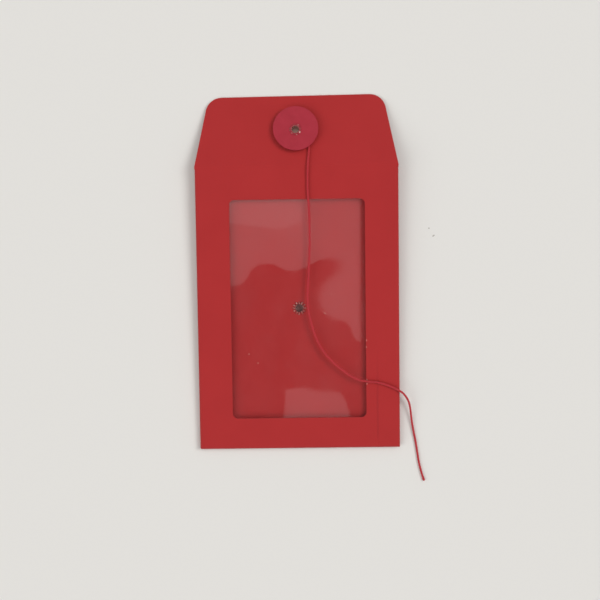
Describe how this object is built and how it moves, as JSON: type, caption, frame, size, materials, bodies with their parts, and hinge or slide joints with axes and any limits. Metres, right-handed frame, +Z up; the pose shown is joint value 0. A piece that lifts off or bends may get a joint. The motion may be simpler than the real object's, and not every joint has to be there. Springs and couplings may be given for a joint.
{
  "type": "window envelope",
  "caption": "Open card envelope with a film window in its front and a string-and-washer closure on its flap.",
  "frame": {"origin": "middle of the envelope's box at the height of the table, measured without the string", "axes": "+X to the right across the pocket, +Y along the pocket from its bottom fold to the flap's edge, +Z up from the table"},
  "size_m": [0.0912, 0.1565, 0.0072],
  "materials": {
    "red_card": "smooth uncoated card, dyed through",
    "clear_film": "clear glossy film",
    "washer_card": "pressed fibre board, crimson",
    "coated_eyelet": "crimson coating worn bright on the rim",
    "eyelet_metal": "plain plated steel",
    "string": "waxed twisted cotton"
  },
  "bodies": {
    "root": {"envelope_card": "red_card", "window_film": "clear_film", "flap_washer": "washer_card", "pocket_washer": "washer_card", "flap_eyelet": "coated_eyelet", "pocket_eyelet": "eyelet_metal", "string": "string"}
  },
  "joints": []
}
